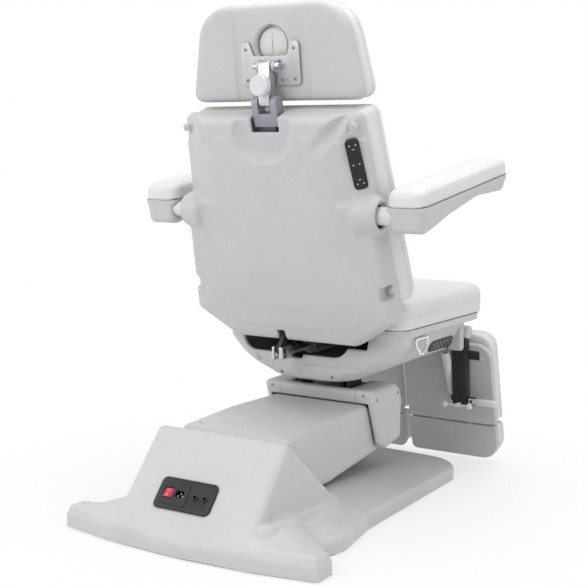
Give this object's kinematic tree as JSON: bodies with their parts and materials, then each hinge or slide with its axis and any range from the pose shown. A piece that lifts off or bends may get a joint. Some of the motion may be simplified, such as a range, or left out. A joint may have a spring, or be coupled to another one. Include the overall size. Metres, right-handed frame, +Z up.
{
  "type": "podiatry chair",
  "caption": "Electric podiatry treatment chair on a low wing-footed base: lifting arm, tilting seat, reclining back, headrest with face hole, swing-up armrests and split leg rests.",
  "frame": {"origin": "on the floor, on the middle plane, between the wing foot and the nose of the base", "axes": "+Z up, +X to the occupant's left, -Y is where the occupant faces"},
  "size_m": [0.878, 1.2801, 1.3462],
  "materials": {
    "white_cover": "satin",
    "grey_cover": "satin",
    "white_upholstery": "satin",
    "frame_steel": "satin",
    "plated_steel": "satin",
    "chrome": "polished",
    "black_plastic": "satin",
    "red_rocker": "gloss",
    "actuator_grey": "matte",
    "fork_casting": "satin",
    "white_plastic": "satin"
  },
  "bodies": {
    "base": {"base_frame": "frame_steel", "tower_cover": "white_cover", "front_cover": "grey_cover", "inlet_panel": "black_plastic", "rear_axle": "plated_steel"},
    "rocker": {"power_switch": "red_rocker"},
    "lift_drive": {"lift_actuator": "actuator_grey"},
    "lift_ram": {"lift_rod": "plated_steel"},
    "arm": {"arm_frame": "frame_steel", "arm_cover": "grey_cover"},
    "levelling": {"level_link": "plated_steel"},
    "carriage": {"carriage_bracket": "frame_steel", "carriage_cover_middle": "grey_cover", "carriage_cover_left": "grey_cover", "carriage_cover_right": "grey_cover"},
    "tilt_drive": {"tilt_actuator": "actuator_grey"},
    "tilt_ram": {"tilt_rod": "plated_steel"},
    "seat": {"seat_frame": "frame_steel", "seat_shell": "grey_cover", "seat_rear_cover": "grey_cover", "seat_cushion": "white_upholstery", "seat_keypad": "black_plastic", "back_actuator": "actuator_grey"},
    "ring": {"hanger_ring": "chrome"},
    "back_ram": {"back_rod": "plated_steel"},
    "back": {"back_frame": "frame_steel", "back_shell": "grey_cover", "back_cushion": "white_upholstery", "back_keypad": "black_plastic"},
    "head_post": {"headrest_fork": "fork_casting"},
    "head_arm": {"headrest_link": "plated_steel"},
    "head_knob": {"headrest_knob": "white_plastic"},
    "headrest": {"headrest_plate": "plated_steel", "headrest_shell": "grey_cover", "headrest_cushion": "white_upholstery", "headrest_plug": "white_upholstery"},
    "armrest_left": {"armrest_shaft_left": "white_plastic", "armrest_shell_left": "grey_cover", "armrest_pad_left": "white_upholstery"},
    "leg_left": {"leg_bar_left": "frame_steel", "leg_panel_left": "grey_cover", "leg_cushion_left": "white_upholstery"},
    "strut_left": {"strut_rod_left": "plated_steel"},
    "strut_ram_left": {"gas_strut_left": "white_plastic"},
    "lever_left": {"release_lever_left": "white_plastic"},
    "clamp_left": {"clamp_handle_left": "white_plastic"},
    "foot_left": {"foot_panel_left": "grey_cover", "foot_cushion_left": "white_upholstery"},
    "armrest_right": {"armrest_shaft_right": "white_plastic", "armrest_shell_right": "grey_cover", "armrest_pad_right": "white_upholstery"},
    "leg_right": {"leg_bar_right": "frame_steel", "leg_panel_right": "grey_cover", "leg_cushion_right": "white_upholstery"},
    "strut_right": {"strut_rod_right": "plated_steel"},
    "strut_ram_right": {"gas_strut_right": "white_plastic"},
    "lever_right": {"release_lever_right": "white_plastic"},
    "clamp_right": {"clamp_handle_right": "white_plastic"},
    "foot_right": {"foot_panel_right": "grey_cover", "foot_cushion_right": "white_upholstery"}
  },
  "joints": [
    {"name": "lift", "type": "hinge", "parent": "base", "child": "arm", "pos_m": [0, 0.345, 0.195], "axis": [-1, 0, 0], "range_deg": [0, 34]},
    {"name": "level_link_swing", "type": "hinge", "parent": "base", "child": "levelling", "pos_m": [0, 0.345, 0.14], "axis": [-1, 0, 0], "range_deg": [0, 34]},
    {"name": "carriage_level", "type": "hinge", "parent": "arm", "child": "carriage", "pos_m": [0, -0.175, 0.21], "axis": [1, 0, 0], "range_deg": [0, 34]},
    {"name": "lift_actuator_swing", "type": "hinge", "parent": "base", "child": "lift_drive", "pos_m": [0, 0.345, 0.065], "axis": [-1, 0, 0], "range_deg": [0, 29.2]},
    {"name": "lift_rod_stroke", "type": "slide", "parent": "lift_drive", "child": "lift_ram", "axis": [0, -0.9487, 0.3162], "range_m": [0, 0.0663]},
    {"name": "seat_tilt", "type": "hinge", "parent": "carriage", "child": "seat", "pos_m": [0, -0.145, 0.352], "axis": [-1, 0, 0], "range_deg": [0, 12]},
    {"name": "tilt_actuator_swing", "type": "hinge", "parent": "carriage", "child": "tilt_drive", "pos_m": [-0.042, -0.2, 0.318], "axis": [-1, 0, 0], "range_deg": [0, 12.61]},
    {"name": "tilt_rod_stroke", "type": "slide", "parent": "tilt_drive", "child": "tilt_ram", "axis": [0, -0.7085, 0.7057], "range_m": [0, 0.0134]},
    {"name": "back_recline", "type": "hinge", "parent": "seat", "child": "back", "pos_m": [0, 0.015, 0.48], "axis": [-1, 0, 0], "range_deg": [0, 72]},
    {"name": "back_rod_stroke", "type": "slide", "parent": "seat", "child": "back_ram", "axis": [0, -1, 0], "range_m": [0, 0.0769]},
    {"name": "headrest_height", "type": "slide", "parent": "back", "child": "head_post", "axis": [0, 0.2588, 0.9659], "range_m": [0, 0.06]},
    {"name": "headrest_reach", "type": "hinge", "parent": "head_post", "child": "head_arm", "pos_m": [0, 0.16498, 1.08997], "axis": [-1, 0, 0], "range_deg": [0, 30]},
    {"name": "headrest_tilt", "type": "hinge", "parent": "head_arm", "child": "headrest", "pos_m": [0, 0.16498, 1.18197], "axis": [-1, 0, 0], "range_deg": [-5, 35]},
    {"name": "headrest_knob_turn", "type": "hinge", "parent": "head_arm", "child": "head_knob", "pos_m": [0, 0.18178, 1.13137], "axis": [0, 1, 0], "range_deg": [-180, 180]},
    {"name": "power_rocker", "type": "hinge", "parent": "base", "child": "rocker", "pos_m": [0.074, 0.48722, 0.12918], "axis": [1, 0, 0], "range_deg": [0, 16]},
    {"name": "hanger_ring_swing", "type": "hinge", "parent": "seat", "child": "ring", "pos_m": [-0.29332, -0.145, 0.463], "axis": [0, 1, 0], "range_deg": [0, 80]},
    {"name": "armrest_left_raise", "type": "hinge", "parent": "back", "child": "armrest_left", "pos_m": [0.3, 0.10235, 0.806], "axis": [-1, 0, 0], "range_deg": [0, 90]},
    {"name": "leg_left_raise", "type": "hinge", "parent": "seat", "child": "leg_left", "pos_m": [0.21, -0.535, 0.425], "axis": [-1, 0, 0], "range_deg": [0, 77.5]},
    {"name": "strut_left_swing", "type": "hinge", "parent": "seat", "child": "strut_left", "pos_m": [0.182, -0.5, 0.395], "axis": [-1, 0, 0], "range_deg": [0, 72.19]},
    {"name": "strut_left_stroke", "type": "slide", "parent": "strut_left", "child": "strut_ram_left", "axis": [0, -0.3987, -0.9171], "range_m": [0, 0.0546]},
    {"name": "foot_left_extend", "type": "slide", "parent": "leg_left", "child": "foot_left", "axis": [0, -0.2164, -0.9763], "range_m": [0, 0.12]},
    {"name": "lever_left_pull", "type": "hinge", "parent": "leg_left", "child": "lever_left", "pos_m": [0.256, -0.5457, 0.214], "axis": [0, -1, 0], "range_deg": [0, 12], "stiffness_Nm_per_rad": 0.8, "springref_deg": -5.73},
    {"name": "clamp_left_turn", "type": "hinge", "parent": "leg_left", "child": "clamp_left", "pos_m": [0.2205, -0.538, 0.203], "axis": [0, 1, 0], "range_deg": [-180, 180]},
    {"name": "armrest_right_raise", "type": "hinge", "parent": "back", "child": "armrest_right", "pos_m": [-0.3, 0.10235, 0.806], "axis": [-1, 0, 0], "range_deg": [0, 90]},
    {"name": "leg_right_raise", "type": "hinge", "parent": "seat", "child": "leg_right", "pos_m": [-0.21, -0.535, 0.425], "axis": [-1, 0, 0], "range_deg": [0, 77.5]},
    {"name": "strut_right_swing", "type": "hinge", "parent": "seat", "child": "strut_right", "pos_m": [-0.182, -0.5, 0.395], "axis": [-1, 0, 0], "range_deg": [0, 72.19]},
    {"name": "strut_right_stroke", "type": "slide", "parent": "strut_right", "child": "strut_ram_right", "axis": [0, -0.3987, -0.9171], "range_m": [0, 0.0546]},
    {"name": "foot_right_extend", "type": "slide", "parent": "leg_right", "child": "foot_right", "axis": [0, -0.2164, -0.9763], "range_m": [0, 0.12]},
    {"name": "lever_right_pull", "type": "hinge", "parent": "leg_right", "child": "lever_right", "pos_m": [-0.256, -0.5457, 0.214], "axis": [0, 1, 0], "range_deg": [0, 12], "stiffness_Nm_per_rad": 0.8, "springref_deg": -5.73},
    {"name": "clamp_right_turn", "type": "hinge", "parent": "leg_right", "child": "clamp_right", "pos_m": [-0.2205, -0.538, 0.203], "axis": [0, 1, 0], "range_deg": [-180, 180]}
  ],
  "couplings": [
    {"joint": "level_link_swing", "follows": "lift", "ratio": 1},
    {"joint": "carriage_level", "follows": "lift", "ratio": 1},
    {"joint": "lift_actuator_swing", "follows": "lift", "ratio": 0.8588},
    {"joint": "lift_rod_stroke", "follows": "lift", "m_per_rad": 0.11164},
    {"joint": "tilt_actuator_swing", "follows": "seat_tilt", "ratio": 1.0504},
    {"joint": "tilt_rod_stroke", "follows": "seat_tilt", "m_per_rad": 0.06387},
    {"joint": "back_rod_stroke", "follows": "back_recline", "m_per_rad": 0.06116},
    {"joint": "strut_left_swing", "follows": "leg_left_raise", "ratio": 0.9315},
    {"joint": "strut_left_stroke", "follows": "leg_left_raise", "m_per_rad": 0.04036},
    {"joint": "strut_right_swing", "follows": "leg_right_raise", "ratio": 0.9315},
    {"joint": "strut_right_stroke", "follows": "leg_right_raise", "m_per_rad": 0.04036}
  ]
}
